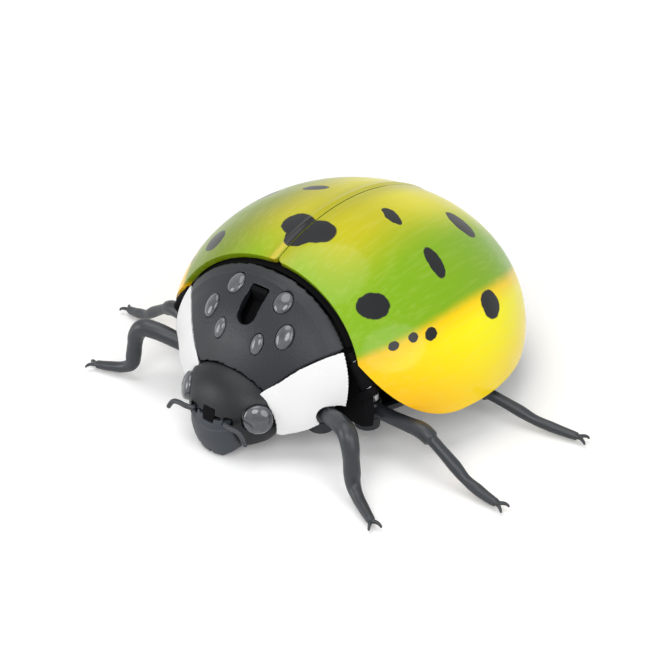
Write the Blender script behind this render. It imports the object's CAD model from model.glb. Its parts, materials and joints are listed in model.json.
# %% [markdown]
# A ladybird-shaped solar robot
#
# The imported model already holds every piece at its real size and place. This lesson dresses
# it: the pieces that show most are modelled again with softer edges, and every piece gets a
# finish made from nodes. Lengths are in millimetres, apart from the floor and the lamps at the
# end, which are in metres.

# %% Load the fixed frame
import json
import math

import bpy
from mathutils import Matrix, Vector

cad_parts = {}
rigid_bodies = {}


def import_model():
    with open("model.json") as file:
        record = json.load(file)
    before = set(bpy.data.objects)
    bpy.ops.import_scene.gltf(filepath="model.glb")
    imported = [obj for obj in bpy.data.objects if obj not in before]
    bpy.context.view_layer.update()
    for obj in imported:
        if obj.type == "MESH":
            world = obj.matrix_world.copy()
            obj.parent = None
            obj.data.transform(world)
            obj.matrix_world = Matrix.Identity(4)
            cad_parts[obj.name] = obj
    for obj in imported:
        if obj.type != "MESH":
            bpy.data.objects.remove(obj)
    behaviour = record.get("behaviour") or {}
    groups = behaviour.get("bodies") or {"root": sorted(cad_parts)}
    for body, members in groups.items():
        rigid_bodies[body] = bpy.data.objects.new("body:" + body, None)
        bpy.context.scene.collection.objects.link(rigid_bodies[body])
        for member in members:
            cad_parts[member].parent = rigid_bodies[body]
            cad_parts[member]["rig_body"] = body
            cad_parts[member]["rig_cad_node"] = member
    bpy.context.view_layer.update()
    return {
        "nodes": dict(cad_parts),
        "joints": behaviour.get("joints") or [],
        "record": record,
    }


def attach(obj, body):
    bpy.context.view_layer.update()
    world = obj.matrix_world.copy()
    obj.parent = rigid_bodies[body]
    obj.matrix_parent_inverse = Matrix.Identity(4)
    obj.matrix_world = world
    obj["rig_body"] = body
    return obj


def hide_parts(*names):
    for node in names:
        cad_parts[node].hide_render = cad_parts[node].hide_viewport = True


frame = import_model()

nodes = frame["nodes"]
joints = {joint["name"]: joint for joint in frame["joints"]}
slot_of = {part["node"]: part["material_slot"] for part in frame["record"]["subparts"]}
MM = 0.001
SIDES = (("left", 1), ("right", -1))

# %% [markdown]
# The body is one big dome, an ellipsoid. The wing cases are its skin, and the thorax and the
# cheeks lie a little below that skin. Its middle is read from the wing hinge, which lies a
# known step ahead of it. The head is a smaller ellipsoid, a known step ahead of the dome.

# %% The dome that everything is drawn on
DOME_RADII = Vector((46, 48, 36.8))
HINGE_AHEAD = 30.4
DOME_RISE_Z = 14.3
hinge = Vector(joints["left_wing_hinge"]["pos_m"]) / MM
DOME_MIDDLE = Vector((0, hinge.y + HINGE_AHEAD, DOME_RISE_Z))
HEAD_AHEAD = 43.5
HEAD_Z = 10.5
HEAD_MIDDLE = Vector((0, DOME_MIDDLE.y - HEAD_AHEAD, HEAD_Z))
HEAD_RADII = Vector((15.5, 10, 11.5))


def inset(radii, depth):
    """The radii of an ellipsoid drawn in by a depth."""
    return radii - Vector((depth,) * 3)


def shrink(vector, radii):
    """A vector in the unit space of an ellipsoid, where that is a ball of radius 1."""
    return Vector([part / radius for part, radius in zip(vector, radii)])


def stretch(vector, radii):
    """A vector of the unit space of an ellipsoid, back in millimetres."""
    return Vector([part * radius for part, radius in zip(vector, radii)])


def on_dome(direction, depth=0.0):
    """The point of the dome, or of one drawn in by a depth, that lies in a direction of its unit space."""
    return DOME_MIDDLE + stretch(direction.normalized(), inset(DOME_RADII, depth))


print("dome middle", tuple(round(x, 2) for x in DOME_MIDDLE))

# %% [markdown]
# A few helpers keep the steps below short. An operator works on whatever is selected, so each
# piece starts with nothing selected, and a finished piece has its place in its mesh and its
# object at the origin.

# %% Helpers for modelling


def deselect():
    """Leaves edit mode and selects nothing."""
    if bpy.context.object and bpy.context.object.mode != "OBJECT":
        bpy.ops.object.mode_set(mode="OBJECT")
    bpy.ops.object.select_all(action="DESELECT")


def choose(piece):
    """Makes one piece the selected and active one."""
    deselect()
    piece.select_set(True)
    bpy.context.view_layer.objects.active = piece


def new_piece(name, operator, **settings):
    """Adds an object by an operator, with nothing else selected, and names it."""
    deselect()
    operator(**settings)
    piece = bpy.context.object
    piece.name = name
    piece.data.name = name
    return piece


def settle(piece, matrix):
    """Gives a piece its place, turn and size, and moves them into its mesh."""
    piece.matrix_world = matrix
    choose(piece)
    bpy.ops.object.transform_apply(location=True, rotation=True, scale=True)


def modify(piece, kind, **settings):
    """Adds a modifier and applies it."""
    choose(piece)
    modifier = piece.modifiers.new(kind.title(), kind)
    for setting, value in settings.items():
        setattr(modifier, setting, value)
    bpy.ops.object.modifier_apply(modifier=modifier.name)


def pick_faces(piece, test):
    """Enters edit mode with only the faces that pass a test selected."""
    choose(piece)
    bpy.ops.object.mode_set(mode="EDIT")
    bpy.ops.mesh.select_mode(type="FACE")
    bpy.ops.mesh.select_all(action="DESELECT")
    bpy.ops.object.mode_set(mode="OBJECT")
    for face in piece.data.polygons:
        face.select = test(face)
    bpy.ops.object.mode_set(mode="EDIT")


def edit_all(piece, operator, **settings):
    """Runs an edit mode operator on a piece's whole mesh."""
    choose(piece)
    bpy.ops.object.mode_set(mode="EDIT")
    bpy.ops.mesh.select_all(action="SELECT")
    operator(**settings)
    bpy.ops.object.mode_set(mode="OBJECT")


def join(first, *others):
    """Joins pieces into the first one."""
    deselect()
    for piece in (first, *others):
        piece.select_set(True)
    bpy.context.view_layer.objects.active = first
    bpy.ops.object.join()
    return first


def smooth(piece, angle=40):
    """Smooth shading, with edges sharper than an angle kept."""
    choose(piece)
    bpy.ops.object.shade_smooth_by_angle(angle=math.radians(angle))


def place(piece, body, slot, material, *stands_for):
    """Gives a finished piece its body, its material and the nodes that it stands for."""
    piece.data.materials.clear()
    piece.data.materials.append(material)
    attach(piece, body)
    if stands_for:
        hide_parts(*stands_for)
    print(piece.name, "has", len(piece.data.polygons), "faces")


print("helpers for modelling are ready")

# %% [markdown]
# Finishes are node trees. These helpers add a node and wire it, so that a material below reads
# from the place on the object to the shader. Colours are written as they look on a screen and
# turned into the linear values that the shader wants.

# %% Helpers for finishes


def colour(red, green, blue):
    """A screen colour, from 0 to 255, as a linear one."""
    steps = [channel / 255 for channel in (red, green, blue)]
    return (*[s / 12.92 if s <= 0.04045 else ((s + 0.055) / 1.055) ** 2.4 for s in steps], 1)


def add(tree, kind, inputs, output=0, **settings):
    """Adds a shader node, links or sets its inputs, and returns one of its outputs."""
    made = tree.nodes.new("ShaderNode" + kind)
    for setting, value in settings.items():
        setattr(made, setting, value)
    for socket, value in inputs.items():
        if isinstance(value, bpy.types.NodeSocket):
            tree.links.new(value, made.inputs[socket])
        else:
            made.inputs[socket].default_value = value
    return made.outputs[output]


def new_finish(name, **constants):
    """A material with one Principled shader, and its tree and shader."""
    material = bpy.data.materials.new(name)
    material.use_nodes = True
    tree = material.node_tree
    tree.nodes.clear()
    shader = tree.nodes.new("ShaderNodeBsdfPrincipled")
    output = tree.nodes.new("ShaderNodeOutputMaterial")
    tree.links.new(shader.outputs["BSDF"], output.inputs["Surface"])
    for socket, value in constants.items():
        shader.inputs[socket.replace("_", " ")].default_value = value
    return material, tree, shader


def feed(shader, **sources):
    """Links outputs to sockets of a shader, which are named with underscores."""
    for socket, source in sources.items():
        shader.id_data.links.new(source, shader.inputs[socket.replace("_", " ")])


def object_place(tree):
    """The place on the object, in metres."""
    return add(tree, "TexCoord", {}, "Object")


print("helpers for node trees are ready")

# %% [markdown]
# A pattern is a sum of simple nodes: noise, a mapped range, a ramp of colours, a mix. Each gets
# a helper that takes outputs or plain numbers, so a sum can be read from the inside out.

# %% Helpers for patterns


def noise(tree, where, size, detail=2.0):
    """Cloudy values, with lumps of about one size, in the unit of the place."""
    return add(tree, "TexNoise", {"Vector": where, "Scale": 1 / size, "Detail": detail})


def ramp(tree, factor, *stops):
    """A colour for each factor, from stops of place and colour."""
    made = tree.nodes.new("ShaderNodeValToRGB")
    elements = made.color_ramp.elements
    while len(elements) < len(stops):
        elements.new(0.5)
    for element, (at, shade) in zip(elements, stops):
        element.position = at
        element.color = shade
    tree.links.new(factor, made.inputs[0])
    return made.outputs[0]


def calc(tree, operation, *values):
    """A Math node."""
    return add(tree, "Math", dict(enumerate(values)), operation=operation)


def between(tree, value, low, high, to_low=0.0, to_high=1.0):
    """Maps a value smoothly from one range to another."""
    sockets = {"Value": value, "From Min": low, "From Max": high, "To Min": to_low, "To Max": to_high}
    return add(tree, "MapRange", sockets, interpolation_type="SMOOTHSTEP")


def blend(tree, factor, first, second):
    """Mixes two colours."""
    return add(tree, "Mix", {0: factor, 6: first, 7: second}, 2, data_type="RGBA")


def bump(tree, shader, height, depth, strength):
    """Raises the surface by a height, up to a depth in metres."""
    sockets = {"Height": height, "Distance": depth, "Strength": strength}
    feed(shader, Normal=add(tree, "Bump", sockets))


print("helpers for patterns are ready")

# %% [markdown]
# Most pieces are moulded plastic. Up close it has a fine grain from the mould, the sheen is a
# little uneven, and the shade drifts softly over a finger's width. One function makes all of
# these plastics, from their colour, their roughness, the size and depth of the grain and the
# drift of the shade.

# %% Moulded plastics
DRIFT_SIZE = 14


def moulded_plastic(name, shade, roughness, grain=0.3, depth=0.03, drift=0.1, **constants):
    """A moulded plastic with grain and drift of shade."""
    material, tree, shader = new_finish(name, **{"Specular_IOR_Level": 0.35, **constants})
    where = object_place(tree)
    fine = noise(tree, where, grain * MM, 3.0)
    broad = noise(tree, where, DRIFT_SIZE * MM, 3.0)
    darker = tuple(channel * (1 - drift) for channel in shade[:3]) + (1,)
    lighter = tuple(min(1, channel * (1 + drift)) for channel in shade[:3]) + (1,)
    mixed = calc(tree, "MULTIPLY_ADD", fine, 0.4, calc(tree, "MULTIPLY", broad, 0.6))
    sheen = between(tree, broad, 0.3, 0.7, roughness - 0.05, roughness + 0.05)
    feed(shader, Base_Color=blend(tree, mixed, darker, lighter), Roughness=sheen)
    bump(tree, shader, fine, depth * MM, 0.6)
    return material


satin_black = moulded_plastic("satin_black", colour(20, 23, 29), 0.4, 0.42, 0.14, 0.16,
                              Specular_IOR_Level=0.4)
head_black = moulded_plastic("head_black", colour(11, 13, 17), 0.42, 0.42, 0.1, 0.16)
jaw_grey = moulded_plastic("jaw_grey", colour(50, 54, 61), 0.45, 0.35, 0.06)
leg_slate = moulded_plastic("leg_slate", colour(36, 40, 45), 0.4, 0.4, 0.03, 0.2, Specular_IOR_Level=0.5)
cheek_white = moulded_plastic("cheek_white", colour(230, 230, 230), 0.55, 0.45, 0.08, 0.03)
inner_plastic = moulded_plastic("inner_plastic", colour(36, 39, 43), 0.52, 0.4, 0.03)
deep_black = moulded_plastic("deep_black", colour(15, 14, 16), 0.7, Specular_IOR_Level=0.05)
gear_ivory = moulded_plastic("gear_ivory", colour(222, 216, 196), 0.4, 0.4, 0.02, 0.05)
wing_inside = moulded_plastic("wing_inside", colour(126, 138, 30), 0.4, 0.4, 0.02, 0.08)
print("materials so far:", len(bpy.data.materials))

# %% [markdown]
# The wing cases are sprayed: a green band round the dome, yellow towards the seam, and a soft
# line below which they are bright yellow, warmer towards the front and the rim. The paint is
# worked out from the place on the dome, so both wing cases share one finish. Both halves use
# the same sum, because the distance from the seam has no sign. Only the upper front of the
# right one is a little darker. The pairs below say between which two places one colour gives
# way to the next, in millimetres from the dome's middle, the seam or the soft line.

# %% Sprayed paint of the wing cases
LINE_HEIGHT = 34.7
LINE_FALL = 0.006
BAND_GREEN = colour(128, 174, 12)
TOP_YELLOW = colour(193, 186, 2)
REAR_YELLOW = colour(228, 219, 6)
SEAM_OLIVE = colour(170, 166, 16)
SHADED_OLIVE = colour(106, 106, 0)
RIM_ORANGE = colour(249, 170, 2)
RIM_GOLD = colour(254, 211, 0)
RIM_YELLOW = colour(255, 247, 0)
STREAK_PALE = colour(232, 236, 150)
STREAK_SCALE = (0.9, 0.05, 0.9)
SWAY_SIZE = 14
LINE_SWAY = 2.0
LINE_BLUR = (1.5, -1.2)
TOP_BESIDE = (27, 10)
TOP_ALONG = (-33, -12)
REAR_ALONG = (-4, 18)
SEAM_BESIDE = (7, 0.5)
SHADED_X = (-3, -22)
SHADED_ALONG = (36, 8)
WARM_ALONG = (-36, 6)
WARM_ABOVE = (-3, 16)
WARM_LINE = (0.5, -5)


def split_xyz(tree, where):
    """The three parts of a place."""
    made = tree.nodes.new("ShaderNodeSeparateXYZ")
    tree.links.new(where, made.inputs[0])
    return tuple(made.outputs)


def dome_place(tree):
    """The place from the dome's middle in millimetres, as x, y, z and the whole vector."""
    metres = add(tree, "VectorMath", {0: object_place(tree), 1: DOME_MIDDLE * MM}, operation="SUBTRACT")
    where = add(tree, "VectorMath", {0: metres, "Scale": 1 / MM}, operation="SCALE")
    return (*split_xyz(tree, where), where)


def sprayed_colours(tree, x, beside, along, above, where):
    """The wing case's colour without its spots."""
    sway = noise(tree, where, SWAY_SIZE)
    line = calc(tree, "MULTIPLY_ADD", calc(tree, "MULTIPLY", along, along), LINE_FALL,
                calc(tree, "ADD", above, DOME_RISE_Z - LINE_HEIGHT))
    line = calc(tree, "MULTIPLY_ADD", sway, LINE_SWAY, calc(tree, "SUBTRACT", line, LINE_SWAY / 2))
    low = between(tree, line, *LINE_BLUR)
    near_top = calc(tree, "MULTIPLY", between(tree, beside, *TOP_BESIDE), between(tree, along, *TOP_ALONG))
    top = blend(tree, between(tree, along, *REAR_ALONG), TOP_YELLOW, REAR_YELLOW)
    upper = blend(tree, near_top, BAND_GREEN, top)
    upper = blend(tree, between(tree, beside, *SEAM_BESIDE, 0, 0.7), upper, SEAM_OLIVE)
    shaded = calc(tree, "MULTIPLY", between(tree, x, *SHADED_X, 0, 0.6), between(tree, along, *SHADED_ALONG))
    upper = blend(tree, shaded, upper, SHADED_OLIVE)
    warmth = calc(tree, "MULTIPLY_ADD", between(tree, along, *WARM_ALONG), 0.6,
                  calc(tree, "MULTIPLY", between(tree, above, *WARM_ABOVE), 0.4))
    warmth = calc(tree, "MULTIPLY", warmth, between(tree, line, *WARM_LINE, 0.45, 1))
    lower = ramp(tree, warmth, (0, RIM_ORANGE), (0.45, RIM_GOLD), (1, RIM_YELLOW))
    streaks = add(tree, "Mapping", {"Vector": where, "Scale": STREAK_SCALE})
    faint = noise(tree, streaks, 1.0, 3.0)
    shade = blend(tree, low, upper, lower)
    return blend(tree, between(tree, faint, 0.45, 0.7, 0, 0.06), shade, STREAK_PALE)


print("paint line", LINE_HEIGHT, "mm above the ground at the widest place")

# %% [markdown]
# The spots are printed over the paint. Each is an oval on the skin of the dome, with a place, a
# long direction and two half widths. A Mapping node turns the place into the oval's own units,
# and a little noise beforehand gives the edge its uneven, hand-cut look. The front of the bead
# along the right wing case's seam is a paler yellow.

# %% Printed spots
SPOTS = [
    ((3.1, -16.3, 48.6), (0.97, 0.2, 0.05), 4.9, 4.2),
    ((1.5, -20, 47.6), (0.42, 0.88, 0.2), 3.8, 2.1),
    ((12.7, 1.1, 49.6), (-0.93, 0.3, 0.21), 3.9, 1.8),
    ((21.4, 18.8, 43.5), (-0.9, 0.1, 0.42), 5, 3.2),
    ((28.6, -1.6, 43), (-0.8, 0.28, 0.52), 4.8, 2.1),
    ((26.4, -22.6, 38.8), (0.67, 0.74, -0.06), 4.2, 3.4),
    ((39.9, 7.1, 31.7), (0.37, -0.87, -0.33), 3.9, 3.5),
    ((37.9, -14.6, 31.9), (0, 0.9, 0.44), 1.9, 1.5),
    ((35.9, -19.1, 32.1), (0.1, 0.9, 0.43), 1.35, 1.05),
    ((33.8, -24, 31.2), (0.3, 0.89, 0.35), 1.55, 1.1),
]
SPOT_BLACK = colour(24, 25, 27)
SPOT_EDGE = (1.05, 0.95)
RAGGED = 1.1
RAGGED_SCALE = 0.36
RIPPLE_SIZE = 7
BEAD_YELLOW = colour(200, 182, 40)
BEAD_NEAR = (-0.5, -0.8)
BEAD_FAR = (-2.5, -2.1)
BEAD_ALONG = (-17, -22)


def spot_frame(at, along):
    """The turn from an oval's own axes to the dome's, with its third axis out of the skin."""
    middle = Vector(at) - Vector((0, 0, DOME_RISE_Z))
    out = shrink(shrink(middle, DOME_RADII), DOME_RADII).normalized()
    long_axis = Vector(along)
    long_axis = (long_axis - out * long_axis.dot(out)).normalized()
    return middle, Matrix((long_axis, out.cross(long_axis), out)).transposed()


def spot_mask(tree, beside, along, above, where):
    """One inside the spots and nothing outside them."""
    folded = add(tree, "CombineXYZ", {0: beside, 1: along, 2: above})
    clouds = add(tree, "TexNoise", {"Vector": where, "Scale": RAGGED_SCALE, "Detail": 2.0}, "Color")
    shift = add(tree, "VectorMath", {0: clouds, 1: (0.5,) * 3}, operation="SUBTRACT")
    ragged = add(tree, "VectorMath", {0: shift, 1: (RAGGED,) * 3, 2: folded}, operation="MULTIPLY_ADD")
    mask = None
    for at, direction, half_length, half_width in SPOTS:
        middle, turn = spot_frame(at, direction)
        sockets = {"Vector": ragged, "Location": middle, "Rotation": turn.to_euler(),
                   "Scale": (half_length, half_width, 100.0)}
        own = add(tree, "Mapping", sockets, vector_type="TEXTURE")
        reach = add(tree, "VectorMath", {0: own}, "Value", operation="LENGTH")
        inside = between(tree, reach, *SPOT_EDGE)
        mask = inside if mask is None else calc(tree, "MAXIMUM", mask, inside)
    return mask


def sprayed_wing():
    """Glossy sprayed plastic with printed spots."""
    material, tree, shader = new_finish("sprayed_wing", Coat_Weight=0.35, Coat_Roughness=0.1,
                                        Specular_IOR_Level=0.1)
    x, along, above, where = dome_place(tree)
    beside = calc(tree, "ABSOLUTE", x)
    paint = sprayed_colours(tree, x, beside, along, above, where)
    spots = spot_mask(tree, beside, along, above, where)
    on_bead = calc(tree, "MULTIPLY", between(tree, x, *BEAD_NEAR), between(tree, x, *BEAD_FAR))
    on_bead = calc(tree, "MULTIPLY", on_bead, between(tree, along, *BEAD_ALONG, 0, 0.7))
    paint = blend(tree, on_bead, paint, BEAD_YELLOW)
    ripple = noise(tree, where, RIPPLE_SIZE, 1.0)
    feed(shader, Base_Color=blend(tree, spots, paint, SPOT_BLACK),
         Roughness=between(tree, ripple, 0.3, 0.7, 0.3, 0.38))
    bump(tree, shader, calc(tree, "MULTIPLY_ADD", spots, 0.5, ripple), 0.05 * MM, 0.3)
    return material


wing_paint = sprayed_wing()
print("spots on each wing case:", len(SPOTS))

# %% [markdown]
# A wing case is a four-sided sheet of the dome: the seam along the back, the front edge, the
# curved lower corner with the side rim, and the rear rim. A sphere cut by planes would leave
# slivers along the cuts, and a bevel can't round those. So a grid is laid on the dome instead:
# its four edges follow the four borders, and the inside is blended between them. Solidify
# then gives the wall, and Bevel rolls the edges.

# %% Borders of a wing case
SEAM_HALF = 0.16
FRONT_AHEAD = 28
FRONT_LEAN = math.tan(math.radians(14))
RIM_Z = 11
CORNER_R = 24
CORNER_AHEAD = 9.2
REAR_CORNER_TURN = math.radians(52)
rim_unit = (RIM_Z - DOME_RISE_Z) / DOME_RADII.z
top_of_front = DOME_RISE_Z + DOME_RADII.z * math.sqrt(1 - (FRONT_AHEAD / DOME_RADII.y) ** 2)


def unit_point(x, y, z):
    """A place from the dome's middle, in the unit space where the dome is a ball."""
    return shrink((x, y, z - DOME_RISE_Z), DOME_RADII)


def beside_middle(y, z):
    """The point of the dome's left side at a length and a height, in unit space."""
    flat = unit_point(0, y, z)
    return Vector((math.sqrt(max(0.0, 1 - flat.length_squared)), flat.y, flat.z))


def seam_at(turn):
    """The seam, from the front over the top to the rear."""
    side = SEAM_HALF / DOME_RADII.x
    reach = math.sqrt(1 - side * side)
    return Vector((side, -reach * math.cos(turn), reach * math.sin(turn)))


def behind_front(point):
    """How far a point of the unit space lies behind the front plane."""
    y = point.y * DOME_RADII.y
    z = point.z * DOME_RADII.z + DOME_RISE_Z
    return y + FRONT_AHEAD + FRONT_LEAN * (top_of_front - z)


def corner_at(turn):
    """The rounded lower corner, from the rim forwards and up."""
    return beside_middle(-CORNER_AHEAD - CORNER_R * math.sin(turn), RIM_Z + CORNER_R * (1 - math.cos(turn)))


def rim_at(turn):
    """The rim, from the widest place to the rear."""
    reach = math.sqrt(1 - rim_unit ** 2)
    return Vector((reach * math.cos(turn), reach * math.sin(turn), rim_unit))


print("the front edges meet the seam", round(top_of_front, 1), "mm above the ground")

# %% [markdown]
# The corners where two borders meet are found by halving a range until a test changes its sign.
# Each border is then walked at an even pace, so that the lines of the grid lie evenly.

# %% Walks along the borders
BORDER_STEPS = 400


def find(test, low, high):
    """Where a rising test changes sign, by halving."""
    for _ in range(50):
        middle = (low + high) / 2
        low, high = (middle, high) if test(middle) < 0 else (low, middle)
    return (low + high) / 2


def curve(at, start, end):
    """Points along a border."""
    return [at(start + (end - start) * i / BORDER_STEPS) for i in range(BORDER_STEPS + 1)]


def paced(points):
    """A function of 0 to 1 that walks along points at an even pace."""
    lengths = [0.0]
    for first, second in zip(points, points[1:]):
        lengths.append(lengths[-1] + (second - first).length)

    def walk(share):
        goal = share * lengths[-1]
        i = next((k for k in range(1, len(lengths)) if lengths[k] >= goal), len(lengths) - 1)
        part = (goal - lengths[i - 1]) / max(1e-9, lengths[i] - lengths[i - 1])
        return points[i - 1].lerp(points[i], min(1.0, part))

    return walk


seam_start = find(lambda turn: behind_front(seam_at(turn)), 0.2, 1.5)
seam_end = math.pi - math.asin(rim_unit / math.sqrt(1 - (SEAM_HALF / DOME_RADII.x) ** 2))
kink_turn = find(lambda turn: -behind_front(corner_at(turn)), 0.3, math.pi / 2)
kink = corner_at(kink_turn)
rim_start = math.asin(-CORNER_AHEAD / DOME_RADII.y / math.sqrt(1 - rim_unit ** 2))
rim_end = math.acos(SEAM_HALF / DOME_RADII.x / math.sqrt(1 - rim_unit ** 2))
front_heights = [seam_at(seam_start).z, kink.z]


def front_at(share):
    """The front edge, from the seam down to the kink."""
    top, low = front_heights
    z = DOME_RISE_Z + DOME_RADII.z * (top + (low - top) * share * share)
    point = beside_middle(-FRONT_AHEAD - FRONT_LEAN * (top_of_front - z), z)
    return point if share > 0 else seam_at(seam_start)


seam_walk = paced(curve(seam_at, seam_start, seam_end))
front_walk = paced(curve(front_at, 0, 1))
side_walk = paced(curve(corner_at, kink_turn, 0) + curve(rim_at, rim_start, REAR_CORNER_TURN))
rear_walk = paced(list(reversed(curve(rim_at, REAR_CORNER_TURN, rim_end))))
print("kink at", tuple(round(a * b, 1) for a, b in zip(kink, DOME_RADII)))

# %% [markdown]
# The grid's own two coordinates say how far along and across a point is. The four borders are
# blended as for a stretched sheet, and the result is pushed out on to the dome. Rows lie
# closer together beside the seam, where the right wing case carries a raised bead.

# %% Lay the wing cases on the dome
WING_WALL = 1.6
ALONG_STEPS = 150
ACROSS_STEPS = 64
BEAD_HEIGHT = 0.3
BEAD_MIDDLE = 1.6
BEAD_HALF = 0.5
ROW_CROWDING = 1.3
EDGE_ROLL = 0.7
SEAM_CORNER_R = 1.8
SEAM_LENGTH = 112
FRONT_LENGTH = 47


def sheet_point(u, v):
    """A point of the sheet: u runs back along the seam, v away from it."""
    seam, side, front, rear = seam_walk(u), side_walk(u), front_walk(v), rear_walk(v)
    corners = (seam_walk(0) * (1 - u) * (1 - v) + seam_walk(1) * u * (1 - v)
               + side_walk(0) * (1 - u) * v + side_walk(1) * u * v)
    return seam * (1 - v) + side * v + front * (1 - u) + rear * u - corners


def round_corner(u, v):
    """Rounds the sheet's corner where the front edge meets the seam: a square laid on a quarter disc."""
    from_arc = Vector((SEAM_CORNER_R - u * SEAM_LENGTH, SEAM_CORNER_R - v * FRONT_LENGTH))
    if min(from_arc) <= 0:
        return u, v
    from_arc *= max(from_arc) / from_arc.length
    return (SEAM_CORNER_R - from_arc.x) / SEAM_LENGTH, (SEAM_CORNER_R - from_arc.y) / FRONT_LENGTH


def wing_case(name, side, bead):
    """A wing case on the left (side 1) or the right (side -1)."""
    piece = new_piece(name, bpy.ops.mesh.primitive_grid_add,
                      x_subdivisions=ALONG_STEPS, y_subdivisions=ACROSS_STEPS, size=1)
    for vertex in piece.data.vertices:
        u = (vertex.co.x + 0.5) ** ROW_CROWDING
        v = (vertex.co.y + 0.5) ** ROW_CROWDING
        at = on_dome(sheet_point(*round_corner(u, v)))
        lift = bead * math.exp(-(((at.x - SEAM_HALF - BEAD_MIDDLE) / BEAD_HALF) ** 2))
        at += (at - DOME_MIDDLE).normalized() * lift
        vertex.co = Vector((side * at.x, at.y, at.z)) * MM
    middle = DOME_MIDDLE * MM
    face = piece.data.polygons[len(piece.data.polygons) // 2]
    if face.normal.dot(face.center - middle) < 0:
        edit_all(piece, bpy.ops.mesh.flip_normals)
    modify(piece, "SOLIDIFY", thickness=WING_WALL * MM, offset=-1, use_even_offset=True)
    modify(piece, "BEVEL", width=EDGE_ROLL * MM, segments=4, limit_method="ANGLE",
           angle_limit=math.radians(50))
    smooth(piece, 60)
    return piece


for side_name, side in SIDES:
    piece = wing_case(side_name + "_sprayed_wing", side, BEAD_HEIGHT if side < 0 else 0)
    place(piece, side_name + "_wing", "wing_case", wing_paint, side_name + "_wing_case")
    piece.data.materials.append(wing_inside)
    inner = [f for f in piece.data.polygons if f.normal.dot(f.center - DOME_MIDDLE * MM) < 0]
    for face in inner:
        face.material_index = 1

# %% [markdown]
# No light shows through the seam, because the left wing case has a lip moulded along its edge
# that reaches a little way under the right one, as the rebate of a lid does. The lip lies
# deeper towards the right, so either wing case can open by itself. It is a narrow grid laid
# under the seam, and Solidify gives it a wall.

# %% Lip under the seam
LIP_START = 0.1
LIP_END = 0.985
LIP_MIDDLE = 0.35
LIP_HALF = 1.25
LIP_DEPTH = WING_WALL + 0.3
LIP_SLOPE = 0.45
LIP_WALL = 0.7
LIP_ROLL = 0.15
lip = new_piece("left_wing_seam_lip", bpy.ops.mesh.primitive_grid_add,
                x_subdivisions=4, y_subdivisions=120, size=2)
for vertex in lip.data.vertices:
    across = vertex.co.x
    at = seam_walk(LIP_START + (LIP_END - LIP_START) * (vertex.co.y + 1) / 2)
    at.x = (LIP_MIDDLE + LIP_HALF * across) / DOME_RADII.x
    vertex.co = on_dome(at, LIP_DEPTH - LIP_SLOPE * across) * MM
modify(lip, "SOLIDIFY", thickness=LIP_WALL * MM, offset=-1)
modify(lip, "BEVEL", width=LIP_ROLL * MM, segments=2, limit_method="ANGLE")
smooth(lip, 60)
place(lip, "left_wing", "wing_case", wing_inside)

# %% [markdown]
# A dark strip of the body runs under the front edges of both wing cases, so that the groove
# behind the thorax shows no light. Its grid follows the front border a little further in than
# the wing cases, and Solidify gives it a wall.

# %% Strip under the front edges
STRIP_INSET = 2.1
STRIP_AHEAD = 2.2
STRIP_BEHIND = 1.6
STRIP_END = 0.85
STRIP_WALL = 0.8
strip = new_piece("groove_strip", bpy.ops.mesh.primitive_grid_add,
                  x_subdivisions=80, y_subdivisions=3, size=2)
for vertex in strip.data.vertices:
    at = front_walk(abs(vertex.co.x) * STRIP_END)
    at.x = math.copysign(at.x - front_walk(0).x, vertex.co.x)
    at.y += (-STRIP_AHEAD if vertex.co.y < 0 else STRIP_BEHIND) * abs(vertex.co.y) / DOME_RADII.y
    vertex.co = on_dome(at, STRIP_INSET) * MM
modify(strip, "SOLIDIFY", thickness=STRIP_WALL * MM, offset=-1)
smooth(strip, 60)
place(strip, "body", "black_plastic", deep_black)

# %% [markdown]
# Each wing case turns on a knuckle moulded to its inside, near the front, and the hinge pin of
# the model runs through it. A cylinder is inset at both ends and bridged, which opens its bore,
# and its edges are bevelled. It stands so near the wall that its outer side sinks into it.

# %% Hinge knuckles of the wing cases
KNUCKLE_R = 2
KNUCKLE_LENGTH = 7
KNUCKLE_ROLL = 0.25
PIN_BORE_R = 0.96
HINGE_LEAN = math.radians(40)


def tube(name, outer, bore, length):
    """A cylinder with a bore, upright at the origin: both ends inset, then bridged."""
    piece = new_piece(name, bpy.ops.mesh.primitive_cylinder_add,
                      vertices=48, radius=outer * MM, depth=length * MM)
    pick_faces(piece, lambda face: abs(face.normal.z) > 0.9)
    bpy.ops.mesh.inset(thickness=(outer - bore) * MM, use_individual=True)
    bpy.ops.mesh.bridge_edge_loops()
    bpy.ops.object.mode_set(mode="OBJECT")
    return piece


for side_name, side in SIDES:
    knuckle = tube(side_name + "_wing_knuckle", KNUCKLE_R, PIN_BORE_R, KNUCKLE_LENGTH)
    modify(knuckle, "BEVEL", width=KNUCKLE_ROLL * MM, segments=2, limit_method="ANGLE")
    at = Vector((side * hinge.x, hinge.y, hinge.z)) * MM
    half_turn = Matrix.Rotation(0 if side > 0 else math.pi, 4, "Z")
    settle(knuckle, Matrix.Translation(at) @ Matrix.Rotation(-side * HINGE_LEAN, 4, "Y") @ half_turn)
    smooth(knuckle)
    place(knuckle, side_name + "_wing", "wing_case", deep_black)

# %% [markdown]
# The thorax, the cheeks, the head and the jaw are shells with holes that other pieces sit in,
# so their shapes start as copies of the model's own solids. A copy is merged, remeshed in small
# voxels and smoothed, which rounds every edge as a mould does. Voxels leave a faint ripple, so
# points that lie almost on the ellipsoid are then put exactly on it.

# %% Soft-edged copies of the model's shells
MERGE_BELOW = 0.001


def soften(piece, voxel, passes):
    """Rounds a piece's edges: small voxels, then smoothing."""
    modify(piece, "REMESH", mode="VOXEL", voxel_size=voxel * MM)
    modify(piece, "SMOOTH", factor=0.5, iterations=passes)


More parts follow.
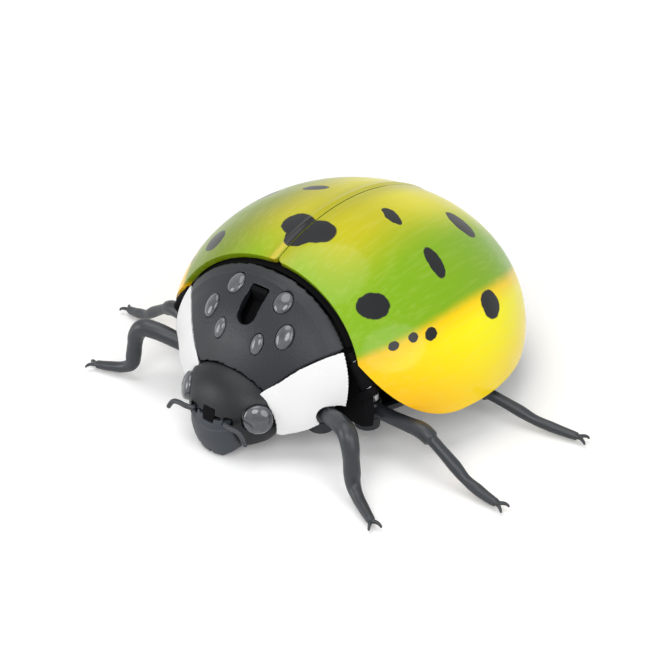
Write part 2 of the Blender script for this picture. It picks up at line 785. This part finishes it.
def soft_copy(node, name, voxel=0.0, passes=0):
    """A copy of a model node, with its edges rounded if a voxel size is given."""
    piece = nodes[node].copy()
    piece.data = nodes[node].data.copy()
    piece.name = name
    piece.data.name = name
    bpy.context.scene.collection.objects.link(piece)
    piece.parent = None
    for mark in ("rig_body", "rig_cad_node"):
        del piece[mark]
    edit_all(piece, bpy.ops.mesh.remove_doubles, threshold=MERGE_BELOW * MM)
    if voxel:
        soften(piece, voxel, passes)
    return piece


def ease(value):
    """A smooth step from 0 to 1."""
    value = max(0.0, min(1.0, value))
    return value * value * (3 - 2 * value)


def true_up(piece, middle, radii, lift=0.0, reach=0.16):
    """Puts points that lie near an ellipsoid on it, or a lift above it, and fades out at the edges."""
    for vertex in piece.data.vertices:
        at = vertex.co / MM - middle
        off = at.length * (1 - 1 / max(1e-6, shrink(at, radii).length))
        at -= at.normalized() * (off - lift) * ease((reach - abs(off)) / (reach * 0.6))
        vertex.co = (middle + at) * MM


print("helpers for shells are ready")

# %% [markdown]
# The white cheeks lie in the same skin as the thorax, a hair proud of it. Their copies could
# be used as they are, but on the real robot they close up to the head. So points near the head
# move towards it, and the move fades out with their distance.

# %% Cheeks
THORAX_INSET = 1
THORAX_RADII = inset(DOME_RADII, THORAX_INSET)
CHEEK_PROUD = 0.12
CHEEK_SHIFT = Vector((-1.4, -1.1))
CHEEK_FADE = 5
for side_name, side in SIDES:
    cheek = soft_copy(side_name + "_cheek", side_name + "_white_cheek", voxel=0.2, passes=6)
    for vertex in cheek.data.vertices:
        from_head = (shrink(vertex.co / MM - HEAD_MIDDLE, HEAD_RADII).length - 1) * HEAD_RADII.z
        shift = Vector((side * CHEEK_SHIFT.x, CHEEK_SHIFT.y, 0))
        vertex.co += shift * ease(1 - from_head / CHEEK_FADE) * MM
    true_up(cheek, DOME_MIDDLE, THORAX_RADII, lift=CHEEK_PROUD, reach=0.3)
    smooth(cheek, 60)
    place(cheek, "body", "white_plastic", cheek_white, side_name + "_cheek")

# %% [markdown]
# The head is an ellipsoid in the model. The real one is narrower low at its sides, below the
# brow, so the points there are drawn in, and the move fades out upwards and inwards.

# %% Head
HEAD_SQUEEZE = 2.2
SQUEEZE_BELOW = HEAD_MIDDLE.z + 7
SQUEEZE_FADE = 5
SQUEEZE_FROM_X = 7
head = soft_copy("head_shell", "head", voxel=0.2, passes=5)
true_up(head, HEAD_MIDDLE, HEAD_RADII)
for vertex in head.data.vertices:
    x = vertex.co.x / MM
    low = ease((SQUEEZE_BELOW - vertex.co.z / MM) / SQUEEZE_FADE)
    outer = ease((abs(x) - SQUEEZE_FROM_X) / SQUEEZE_FROM_X)
    vertex.co.x -= math.copysign(HEAD_SQUEEZE * outer * low, x) * MM
smooth(head, 60)
place(head, "body", "black_plastic", head_black, "head_shell")

# %% [markdown]
# Six lamps shine through oval windows in the thorax. Each oval lies square to the skin at its
# own place, so a seat is worked out for each: a point on the skin, with its own axes. The
# model's round holes are plugged, and the ovals are cut with a boolean before the remesh, so
# that their edges are rounded with the rest.

# %% Seats of the lamps
LAMP_TILT = math.radians(40)
LAMP_OVALS = {
    "rear": (7.8, 6.7, 2.4, 2.9),
    "side": (12.2, -0.8, 2.15, 3.15),
    "front": (6.2, -5.1, 1.6, 2.65),
}
OVAL_GAP = 0.06
PLUG_R = 3
PLUG_SPAN = (-1.9, 0.6)
CUT_SPAN = (-4, 3)
steep = Vector((0, THORAX_RADII.y * math.cos(LAMP_TILT), THORAX_RADII.z * math.sin(LAMP_TILT))).length
lamp_origin = DOME_MIDDLE + Vector((0, -THORAX_RADII.y ** 2 * math.cos(LAMP_TILT) / steep,
                                    THORAX_RADII.z ** 2 * math.sin(LAMP_TILT) / steep))
up_slope = Vector((0, math.sin(LAMP_TILT), math.cos(LAMP_TILT)))
lamp_aim = Vector((0, -math.cos(LAMP_TILT), math.sin(LAMP_TILT)))


def skin_seat(x, y):
    """The seat of a lamp on the thorax, with its own third axis square to the skin."""
    start = shrink(lamp_origin + Vector((x, 0, 0)) + up_slope * y - DOME_MIDDLE, THORAX_RADII)
    aim = shrink(lamp_aim, THORAX_RADII)
    half = start.dot(aim) / aim.dot(aim)
    along = -half + math.sqrt(half * half - (start.dot(start) - 1) / aim.dot(aim))
    unit = start + aim * along
    at = DOME_MIDDLE + stretch(unit, THORAX_RADII)
    out = shrink(unit, THORAX_RADII).normalized()
    up = (up_slope - out * up_slope.dot(out)).normalized()
    turn = Matrix((up.cross(out), up, out)).transposed().to_4x4()
    return Matrix.Translation(at * MM) @ turn


def boolean(piece, tool, operation):
    """Cuts or keeps a piece with another one."""
    modify(piece, "BOOLEAN", object=tool, operation=operation, solver="EXACT")


def discard(*pieces):
    """Deletes helper pieces."""
    deselect()
    for piece in pieces:
        piece.select_set(True)
    bpy.ops.object.delete()


def oval_prisms(name, size_of, low, high):
    """Upright oval prisms at all the lamps, as one helper piece."""
    made = []
    for side in (1, -1):
        for x, y, half_width, half_length in LAMP_OVALS.values():
            prism = new_piece(name, bpy.ops.mesh.primitive_cylinder_add, vertices=64, radius=1, depth=1)
            wide, long = size_of(half_width, half_length)
            lift = Matrix.Translation((0, 0, (low + high) / 2 * MM))
            size = Matrix.Diagonal((wide * MM, long * MM, (high - low) * MM, 1))
            settle(prism, skin_seat(side * x, y) @ lift @ size)
            made.append(prism)
    return join(*made)


print("lamp windows on each side:", len(LAMP_OVALS))

# %% [markdown]
# The thorax reaches back to the wing cases, with only a narrow groove between them. Its copy
# ends a little further ahead, so its rear edge is drawn back to the groove and lifted, and the
# last of it is smoothed until it rolls over into the dark.

# %% Thorax with its oval windows
EDGE_WAS = 1.08
EDGE_IS = 0.2
EDGE_FADE = 3.5
EDGE_LIFT = 0.5
LIFT_FROM = 5
LIFT_FADE = 4
EDGE_ROUND = 1.3
ROUND_PASSES = 24


def ahead_of_wings(place_m):
    """How far ahead of the wing cases' front edges a point of the thorax lies, in millimetres."""
    x, y, z = place_m / MM
    return -behind_front(unit_point(x, y - DOME_MIDDLE.y, z))


thorax = soft_copy("thorax_shell", "thorax")
plugs = oval_prisms("plugs", lambda wide, long: (PLUG_R, PLUG_R), *PLUG_SPAN)
ovals = oval_prisms("ovals", lambda wide, long: (wide + OVAL_GAP, long + OVAL_GAP), *CUT_SPAN)
skin_ball = new_piece("skin_ball", bpy.ops.mesh.primitive_uv_sphere_add,
                      segments=192, ring_count=96, radius=1)
settle(skin_ball, Matrix.Translation(DOME_MIDDLE * MM) @ Matrix.Diagonal((*(THORAX_RADII * MM), 1)))
boolean(plugs, skin_ball, "INTERSECT")
boolean(plugs, ovals, "DIFFERENCE")
boolean(thorax, ovals, "DIFFERENCE")
thorax = join(thorax, plugs)
soften(thorax, voxel=0.24, passes=8)
discard(ovals, skin_ball)
for vertex in thorax.data.vertices:
    ahead = ahead_of_wings(vertex.co)
    if ahead < EDGE_FADE:
        share = max(0.0, (ahead - EDGE_WAS) / (EDGE_FADE - EDGE_WAS))
        vertex.co.y += max(0.0, ahead - EDGE_IS - share * (EDGE_FADE - EDGE_IS)) * MM
true_up(thorax, DOME_MIDDLE, THORAX_RADII)
for vertex in thorax.data.vertices:
    lift = EDGE_LIFT * ease((LIFT_FROM - ahead_of_wings(vertex.co)) / LIFT_FADE)
    vertex.co += (vertex.co - DOME_MIDDLE * MM).normalized() * lift * MM
pick_faces(thorax, lambda face: ahead_of_wings(face.center) < EDGE_ROUND)
bpy.ops.mesh.vertices_smooth(factor=0.5, repeat=ROUND_PASSES)
bpy.ops.object.mode_set(mode="OBJECT")
smooth(thorax, 60)
place(thorax, "body", "black_plastic", satin_black, "thorax_shell")

# %% [markdown]
# The jaw is a shield that hangs below the face. Its copy is stretched a little down and
# forward at the bottom, a shallow ledge runs across it below the window, and two small nicks
# sit in its lower edge. Moving single points does this without new faces.

# %% Jaw
JAW_TURN_Z = 8.5
JAW_LOW_Z = 1.6
JAW_FORWARD = 2.2
JAW_DROP = 0.9
JAW_NARROW = 0.94
LEDGE_Z = 7.9
LEDGE_CURL = 0.035
LEDGE_DEPTH = 0.3
LEDGE_FADE = 0.5
NICKS = (-4.2, 0.4)
NICK_HALF = 0.5
NICK_RISE = 0.6
NICK_TOP = 1.4
jaw = soft_copy("jaw_plate", "jaw", voxel=0.16, passes=5)
for vertex in jaw.data.vertices:
    x, y, z = vertex.co / MM
    below = max(0.0, (JAW_TURN_Z - z) / (JAW_TURN_Z - JAW_LOW_Z))
    ledge = ease((z - LEDGE_Z - LEDGE_CURL * x * x) / LEDGE_FADE)
    nick = sum(max(0.0, 1 - ((x - at) / NICK_HALF) ** 2) for at in NICKS) * ease(JAW_LOW_Z + NICK_TOP - z)
    x *= JAW_NARROW
    y += LEDGE_DEPTH * ledge - JAW_FORWARD * below * below
    z += NICK_RISE * nick - JAW_DROP * below
    vertex.co = Vector((x, y, z)) * MM
smooth(jaw, 60)
place(jaw, "body", "black_plastic", jaw_grey, "jaw_plate")

# %% [markdown]
# Behind the window and the slits of the face lies a dark blank, so that no light comes through
# the hollow head. The window itself is a dark filter that lies almost flush and leans back with
# the face. Both are plates with rolled edges, so one function makes them from a cube.

# %% Blank and window of the face
BLANK_HALF = Vector((6.6, 0.3, 2.6))
BLANK_AT = HEAD_MIDDLE + Vector((0, -7.35, 1.2))
WINDOW_HALF = Vector((1.86, 1, 1.86))
WINDOW_AT = HEAD_MIDDLE + Vector((0, -8.9, 1.4))
WINDOW_LEAN = math.radians(-14)


def dark_plate(name, at, half, lean, roll):
    """A dark plate at a place, with its half sizes, its lean and the roll of its edges."""
    piece = new_piece(name, bpy.ops.mesh.primitive_cube_add, size=2)
    size = Matrix.Diagonal((*(half * MM), 1))
    settle(piece, Matrix.Translation(at * MM) @ Matrix.Rotation(lean, 4, "X") @ size)
    modify(piece, "BEVEL", width=roll * MM, segments=2)
    smooth(piece)
    place(piece, "body", "chip", deep_black)


dark_plate("face_blank", BLANK_AT, BLANK_HALF, 0, 0.2)
dark_plate("window_filter", WINDOW_AT, WINDOW_HALF, WINDOW_LEAN, 0.15)

# %% [markdown]
# The lamps on the thorax and the eyes are clear moulded domes. Fully clear plastic would show
# little but the dark inside of the shell. So it is a smoky grey Principled with only some
# transmission, and lighter low down, as a light crescent.

# %% Clear plastic
LIT_FROM_BELOW = Vector((-0.15, 0.3, -0.9)).normalized()


def clear_lens():
    """Smoky clear plastic."""
    material, tree, shader = new_finish("clear_lens", Transmission_Weight=0.12, IOR=1.49, Coat_Weight=0.5,
                                        Coat_Roughness=0.03)
    cloud = noise(tree, object_place(tree), 2.5 * MM, 1.0)
    smoke = ramp(tree, cloud, (0.3, colour(66, 69, 74)), (0.7, colour(92, 95, 100)))
    normal = add(tree, "TexCoord", {}, "Normal")
    facing = add(tree, "VectorMath", {0: normal, 1: LIT_FROM_BELOW}, "Value", operation="DOT_PRODUCT")
    lit = between(tree, facing, 0.12, 0.3, 0, 0.8)
    feed(shader, Base_Color=blend(tree, lit, smoke, colour(166, 169, 174)),
         Roughness=between(tree, cloud, 0.2, 0.8, 0.05, 0.1))
    return material


lens_finish = clear_lens()
cup_finish = moulded_plastic("lamp_cup", colour(206, 209, 213), 0.3, 0.3, 0.01, 0.06, Metallic=0.4)
print("made", lens_finish.name, "and", cup_finish.name)

# %% [markdown]
# A dome is low and almost flush with the shell. A sphere is cut at its equator and flattened,
# and the open edge is extruded down for the barrel and closed. Inside sits a small pale cup, a
# cone whose wide end is inset and sunk in.

# %% Domes and cups


def dome_lens(name, seat, half_width, half_length, rise, barrel):
    """A clear dome that points along +Z of its seat."""
    piece = new_piece(name, bpy.ops.mesh.primitive_uv_sphere_add, segments=48, ring_count=24, radius=MM)
    bpy.ops.object.mode_set(mode="EDIT")
    bpy.ops.mesh.select_all(action="SELECT")
    bpy.ops.mesh.bisect(plane_co=(0, 0, -0.01 * MM), plane_no=(0, 0, 1), clear_inner=True)
    bpy.ops.mesh.select_all(action="SELECT")
    bpy.ops.transform.resize(value=(half_width, half_length, rise))
    bpy.ops.mesh.select_mode(type="EDGE")
    bpy.ops.mesh.select_all(action="DESELECT")
    bpy.ops.mesh.select_non_manifold()
    bpy.ops.mesh.extrude_region_move(TRANSFORM_OT_translate={"value": (0, 0, -barrel * MM)})
    bpy.ops.mesh.edge_face_add()
    bpy.ops.object.mode_set(mode="OBJECT")
    modify(piece, "BEVEL", width=0.15 * MM, segments=2, limit_method="ANGLE", angle_limit=math.radians(60))
    settle(piece, seat)
    smooth(piece, 50)
    return piece


def lamp_cup(name, seat, radius):
    """The pale cup inside a dome: a cone whose wide end is sunk in."""
    size = radius * MM
    piece = new_piece(name, bpy.ops.mesh.primitive_cone_add,
                      vertices=32, radius1=size / 2, radius2=size, depth=size)
    pick_faces(piece, lambda face: face.normal.z > 0.9)
    bpy.ops.mesh.inset(thickness=size * 0.18)
    bpy.ops.mesh.extrude_region_move(TRANSFORM_OT_translate={"value": (0, 0, -size * 0.6)})
    bpy.ops.transform.resize(value=(0.55, 0.55, 1))
    bpy.ops.object.mode_set(mode="OBJECT")
    settle(piece, seat)
    smooth(piece, 35)
    return piece


print("helpers for domes are ready")

# %% [markdown]
# Each lamp lies in its oval window, sunk in a little, with its cup further in and down the slope.

# %% Lamps of the thorax
LAMP_SINK = 0.2
LAMP_RISE = 0.9
LAMP_BARREL = 1.5
LAMP_CUP_R = 1.0
LAMP_CUP_STEP = Vector((0, -0.8, -0.8))
for side_name, side in SIDES:
    for row, (x, y, half_width, half_length) in LAMP_OVALS.items():
        name = side_name + "_" + row + "_lamp"
        seat = skin_seat(side * x, y) @ Matrix.Translation((0, 0, -LAMP_SINK * MM))
        lens = dome_lens(name, seat, half_width, half_length, LAMP_RISE, LAMP_BARREL)
        place(lens, "body", "clear_lens", lens_finish, "thorax_lamps")
        cup = lamp_cup(name + "_cup", seat @ Matrix.Translation(LAMP_CUP_STEP * MM), LAMP_CUP_R)
        place(cup, "body", "steel", cup_finish)

# %% [markdown]
# The eyes look out to the front and the side. Each lies at the point of the head's skin that
# faces its way. The left one is pushed a little deeper in, straight away from the camera.

# %% Eyes
EYE_YAW = math.radians(47)
EYE_PITCH = math.radians(15)
EYE_R = 3.75
EYE_SINK = 0.35
EYE_RISE = 1.7
EYE_BARREL = 1.2
EYE_CUP_R = 1.5
EYE_CUP_SINK = 0.1
LEFT_EYE_STEP = Vector((-0.565, 0.654, -0.503)) * 0.7
for side_name, side in SIDES:
    out = Vector((math.cos(EYE_PITCH) * math.cos(EYE_YAW), -math.cos(EYE_PITCH) * math.sin(EYE_YAW),
                  math.sin(EYE_PITCH)))
    on_skin = stretch(stretch(out, HEAD_RADII).normalized(), HEAD_RADII)
    at = HEAD_MIDDLE + on_skin
    if side > 0:
        at += LEFT_EYE_STEP
    at.x *= side
    out.x *= side
    seat = Matrix.Translation((at - out * EYE_SINK) * MM) @ out.to_track_quat("Z", "Y").to_matrix().to_4x4()
    eye = dome_lens(side_name + "_eye", seat, EYE_R, EYE_R, EYE_RISE, EYE_BARREL)
    place(eye, "body", "clear_lens", lens_finish, side_name + "_eye_lens")
    cup = lamp_cup(side_name + "_eye_cup", seat @ Matrix.Translation((0, 0, -EYE_CUP_SINK * MM)), EYE_CUP_R)
    place(cup, "body", "steel", cup_finish)

# %% [markdown]
# Legs and feelers are bent limbs. A Bezier curve through a few stations, each with its own
# radius, and a round bevel give a limb that swells and narrows as a moulded one does.

# %% Limbs


def limb(name, stations, bevel_steps=5):
    """A round limb through stations of place and radius, in millimetres."""
    piece = new_piece(name, bpy.ops.curve.primitive_bezier_curve_add)
    piece.location = (0, 0, 0)
    line = piece.data
    line.dimensions = "3D"
    line.bevel_depth = MM
    line.bevel_resolution = bevel_steps
    line.resolution_u = 8
    line.use_fill_caps = True
    spline = line.splines[0]
    spline.bezier_points.add(len(stations) - len(spline.bezier_points))
    for point, (at, radius) in zip(spline.bezier_points, stations):
        point.co = Vector(at) * MM
        point.radius = radius
        point.handle_left_type = point.handle_right_type = "AUTO"
    choose(piece)
    bpy.ops.object.convert(target="MESH")
    return bpy.context.object


print("helper for limbs is ready")

# %% [markdown]
# The stations of a leg are its reach from the pivot, its height and its radius. Where the shin
# plugs into the thigh, two stations lie close together and leave a step. The boss round the
# screw and two claws are joined to the limb, and a remesh makes one moulding of them all.

# %% Legs
BOSS_R = 3.4
BOSS_HEIGHT = 4.4
BOSS_MIDDLE = {"front": 13.2, "middle": 11.9, "hind": 9.4}
SCREW_BORE_R = 1.56
STRIDE = 5
LEG_AIM = {"front": 23, "middle": -4, "hind": -17}
LEG_STATIONS = {
    "front": [(2.6, 13.7, 2.1), (8, 15.3, 2.25), (14, 16.7, 2.4), (17.2, 16.6, 2.45), (19.2, 14.2, 2.3),
              (20, 11, 2.05), (20.6, 7.6, 2.15), (21.3, 4.8, 1.9), (23.6, 3.2, 1.6), (28, 2.3, 1.4),
              (32.3, 1.85, 1.15)],
    "middle": [(2.6, 11.9, 1.9), (8, 11.8, 1.85), (13, 12, 1.95), (17.6, 12, 2.2), (20, 11, 2.1),
               (20.4, 10.8, 1.5), (23.5, 9, 1.5), (27.5, 6.5, 1.65), (31, 4.2, 1.35), (34.5, 3, 1.5),
               (38.2, 2.1, 1.25), (40, 1.85, 1.1)],
    "hind": [(2.6, 9, 1.9), (8, 8.4, 1.9), (12.6, 7.7, 2.1), (15.4, 7.2, 2.15), (15.8, 7.1, 1.55),
             (20, 5.9, 1.5), (24.5, 4.5, 1.6), (28.5, 3.2, 1.35), (33, 2.5, 1.4), (38, 2, 1.2),
             (40, 1.85, 1.1)],
}
CLAW = [((0.4, 0.2, 0), 0.6), ((1.5, 0.9, 0.15), 0.5), ((2.3, 1.4, -0.2), 0.42), ((2.7, 1.6, -0.8), 0.3)]


def leg(name, kind, side):
    """A leg with its pivot boss and two claws, moulded in one."""
    stations = LEG_STATIONS[kind]
    shape = limb(name + "_limb", [((reach, 0, height), radius) for reach, height, radius in stations])
    toe = Vector((stations[-1][0], 0, stations[-1][1]))
    claws = [limb("claw", [(toe + Vector((x, turn * y, z)), radius) for (x, y, z), radius in CLAW])
             for turn in (1, -1)]
    boss = tube("boss", BOSS_R, SCREW_BORE_R, BOSS_HEIGHT)
    settle(boss, Matrix.Translation((0, 0, BOSS_MIDDLE[kind] * MM)))
    whole = join(shape, boss, *claws)
    whole.name = name + "_moulding"
    soften(whole, voxel=0.26, passes=4)
    pivot = Vector(joints[name + "_swing"]["pos_m"])
    turn = math.radians(-LEG_AIM[kind] - side * STRIDE)
    settle(whole, Matrix.Translation((pivot.x, pivot.y, 0)) @ Matrix.Diagonal((side, 1, 1, 1))
           @ Matrix.Rotation(turn, 4, "Z"))
    if side < 0:
        edit_all(whole, bpy.ops.mesh.normals_make_consistent, inside=False)
    smooth(whole, 60)
    return whole


for side_name, side in SIDES:
    for kind in LEG_STATIONS:
        name = side_name + "_" + kind + "_leg"
        place(leg(name, kind, side), name + "_body", "leg_plastic", leg_slate, name)

# %% [markdown]
# The feelers are thin bent limbs that come out of the notches beside the window. They are not
# joined to anything else, so the curve alone gives their shape, with a rounded last station.

# %% Feelers
FEELER = [((5.7, -8, 0.9), 0.62), ((5.7, -9.9, 0.9), 0.65), ((7, -10.4, 0.95), 0.68),
          ((10.4, -10.6, 1), 0.66), ((11.6, -10.7, 0.6), 0.66), ((13.2, -10.9, -1.5), 0.6),
          ((13.4, -10.92, -1.8), 0.35)]
for side_name, side in SIDES:
    stations = [(HEAD_MIDDLE + Vector((side * x, y, z)), radius) for (x, y, z), radius in FEELER]
    feeler = limb(side_name + "_feeler", stations, bevel_steps=4)
    smooth(feeler, 60)
    place(feeler, "body", "black_plastic", leg_slate, side_name + "_antenna")

# %% [markdown]
# The rest of the model keeps its own solids and only gets its finish: the solar cell with its
# fine silver lines, green boards, steel, brass, rubber and the sleeve of the rechargeable cell.

# %% Finishes of the inner pieces
SILVER_LINES = ((0, 9.0, 0.35), (1, 2.0, 0.1), (1, 22.0, 0.6))
TRACK_SCALE = 420.0


def metal(name, shade, roughness, scratch):
    """Bright metal with fine scratches along one way."""
    material, tree, shader = new_finish(name, Metallic=1.0)
    where = object_place(tree)
    lines = add(tree, "Mapping", {"Vector": where, "Scale": (1, 12, 12)})
    marks = noise(tree, lines, scratch * MM, 4.0)
    tone = ramp(tree, marks, (0.25, tuple(c * 0.8 for c in shade[:3]) + (1,)), (0.75, shade))
    feed(shader, Base_Color=tone, Roughness=between(tree, marks, 0.2, 0.8, roughness, roughness + 0.12))
    return material


def solar_glass():
    """Dark blue cells with silver lines under glass."""
    material, tree, shader = new_finish("solar_glass", Coat_Weight=1.0, Coat_Roughness=0.03, Roughness=0.35)
    parts = split_xyz(tree, object_place(tree))
    masks = []
    for axis, pitch, width in SILVER_LINES:
        wave = calc(tree, "PINGPONG", parts[axis], pitch / 2 * MM)
        masks.append(calc(tree, "LESS_THAN", wave, width / 2 * MM))
    silver = calc(tree, "MAXIMUM", calc(tree, "MAXIMUM", masks[0], masks[1]), masks[2])
    crystal = noise(tree, object_place(tree), 3 * MM, 4.0)
    blue = ramp(tree, crystal, (0.3, colour(14, 20, 44)), (0.7, colour(26, 38, 78)))
    feed(shader, Base_Color=blend(tree, silver, blue, colour(176, 180, 186)))
    return material


def board_green():
    """A circuit board with faint tracks."""
    material, tree, shader = new_finish("board_green", Roughness=0.35, Coat_Weight=0.4)
    sockets = {"Vector": object_place(tree), "Scale": TRACK_SCALE}
    tracks = add(tree, "TexVoronoi", sockets, feature="DISTANCE_TO_EDGE")
    feed(shader, Base_Color=ramp(tree, tracks, (0.04, colour(52, 126, 70)), (0.1, colour(22, 84, 46))))
    return material


FINISH_OF = {
    "black_plastic": satin_black,
    "white_plastic": cheek_white,
    "leg_plastic": leg_slate,
    "inner_plastic": inner_plastic,
    "gear_plastic": gear_ivory,
    "clear_lens": lens_finish,
    "wing_case": wing_paint,
    "chip": deep_black,
    "board": board_green(),
    "steel": metal("steel", colour(196, 198, 202), 0.22, 0.8),
    "brass": metal("brass", colour(206, 170, 96), 0.25, 0.8),
    "cell_sleeve": moulded_plastic("cell_sleeve", colour(52, 118, 84), 0.3, 0.6, 0.01, 0.06),
    "solar_cell": solar_glass(),
    "tyre_rubber": moulded_plastic("tyre_rubber", colour(34, 34, 36), 0.8, 0.5, 0.08, 0.12),
}
print("finishes:", len(FINISH_OF))

# %% [markdown]
# A node of the model gets the finish of its slot. A few lie behind the slot, the window and the
# lamps, where the real ones show only as darkness, so they get the darkest plastic.

# %% Finishes on the model's own nodes
IN_THE_DARK = ("switch_slider", "switch_body", "face_sensor", "bulkhead", "lamp_board")
for name, node in nodes.items():
    node.data.materials.clear()
    node.data.materials.append(FINISH_OF[slot_of[name]])
for name in IN_THE_DARK:
    nodes[name].data.materials[0] = deep_black
print("finishes on model nodes:", len({slot_of[name] for name in nodes}))

# %% [markdown]
# The photograph has a white ground with a soft shadow. Near the robot the floor is pale and
# catches the shadow, and further out it gives way to an even glow, so that no edge shows. Only
# rays that look at the floor see the glow, so it doesn't light the robot from below.

# %% Floor
FLOOR_SIZE = 6
FLOOR_FADE = (0.1, 0.22)
GLOW_NEAR = 0.1
GLOW_RISE = 0.96


def seen_rays(tree):
    """One for the rays that look at the background: from the camera, off gloss and through clear plastic."""
    rays = tree.nodes.new("ShaderNodeLightPath")
    seen = rays.outputs["Is Camera Ray"]
    for kind in ("Is Glossy Ray", "Is Transmission Ray"):
        seen = calc(tree, "MAXIMUM", seen, rays.outputs[kind])
    return seen


floor = new_piece("floor", bpy.ops.mesh.primitive_plane_add, size=FLOOR_SIZE)
floor_finish, tree, shader = new_finish("floor_white", Roughness=0.9, Specular_IOR_Level=0.1,
                                        Emission_Color=(1, 1, 1, 1))
where = object_place(tree)
pale = noise(tree, where, 0.4, 1.0)
spread = add(tree, "VectorMath", {0: where}, "Value", operation="LENGTH")
far = between(tree, spread, *FLOOR_FADE)
near_white = ramp(tree, pale, (0, colour(250, 250, 250)), (1, colour(252, 252, 252)))
glow = calc(tree, "MULTIPLY", seen_rays(tree), calc(tree, "MULTIPLY_ADD", far, GLOW_RISE, GLOW_NEAR))
feed(shader, Base_Color=blend(tree, far, near_white, (0, 0, 0, 1)), Emission_Strength=glow)
floor.data.materials.append(floor_finish)
print("the floor turns white between", *FLOOR_FADE, "m from the middle")

# %% [markdown]
# A bright even room and four soft lamps make a plain studio. The room lights the robot with a
# part of its strength only, and rays that miss everything see it as white.

# %% World and lamps
ROOM_LIGHT = 0.36
LAMPS = [
    ("overhead", (-0.18, -0.12, 0.98), 0.85, 4.1),
    ("side", (0.75, -0.2, 0.45), 0.6, 2.5),
    ("front", (0.4, -0.85, 0.8), 0.6, 4.6),
    ("fill", (-0.7, -0.85, 0.25), 0.6, 3.4),
]
world = bpy.data.worlds.new("studio")
bpy.context.scene.world = world
world.use_nodes = True
tree = world.node_tree
backdrop = tree.nodes["Background"]
backdrop.inputs["Color"].default_value = (1, 1, 1, 1)
feed(backdrop, Strength=calc(tree, "MULTIPLY_ADD", seen_rays(tree), 1 - ROOM_LIGHT, ROOM_LIGHT))
for name, at, size, power in LAMPS:
    light = new_piece(name, bpy.ops.object.light_add, type="AREA", location=at)
    light.data.shape = "DISK"
    light.data.size = size
    light.data.energy = power
    light.rotation_euler = (-Vector(at)).to_track_quat("-Z", "Y").to_euler()
print("lamps:", len(LAMPS))

# %% [markdown]
# The camera stands where the photograph was taken from: above the robot's front left corner,
# with a long lens. Its place, its two angles and the lens were fitted to the outline.

# %% Camera
CAMERA_AT = Vector((232.69, -274.00, 222.95)) * MM
AZIMUTH = math.radians(40.79)
ELEVATION = math.radians(30.20)
LENS_LENGTH = 85.64
SENSOR_WIDTH = 36
behind = Vector((math.sin(AZIMUTH) * math.cos(ELEVATION), -math.cos(AZIMUTH) * math.cos(ELEVATION),
                 math.sin(ELEVATION)))
camera = new_piece("camera", bpy.ops.object.camera_add, location=CAMERA_AT)
camera.rotation_euler = (-behind).to_track_quat("-Z", "Y").to_euler()
camera.data.lens = LENS_LENGTH
camera.data.sensor_width = SENSOR_WIDTH
camera.data.clip_start = 0.01
camera.data.dof.use_dof = False
bpy.context.scene.camera = camera
bpy.context.scene.view_settings.view_transform = "Standard"
print("the camera is", round(CAMERA_AT.length, 3), "m from the middle")
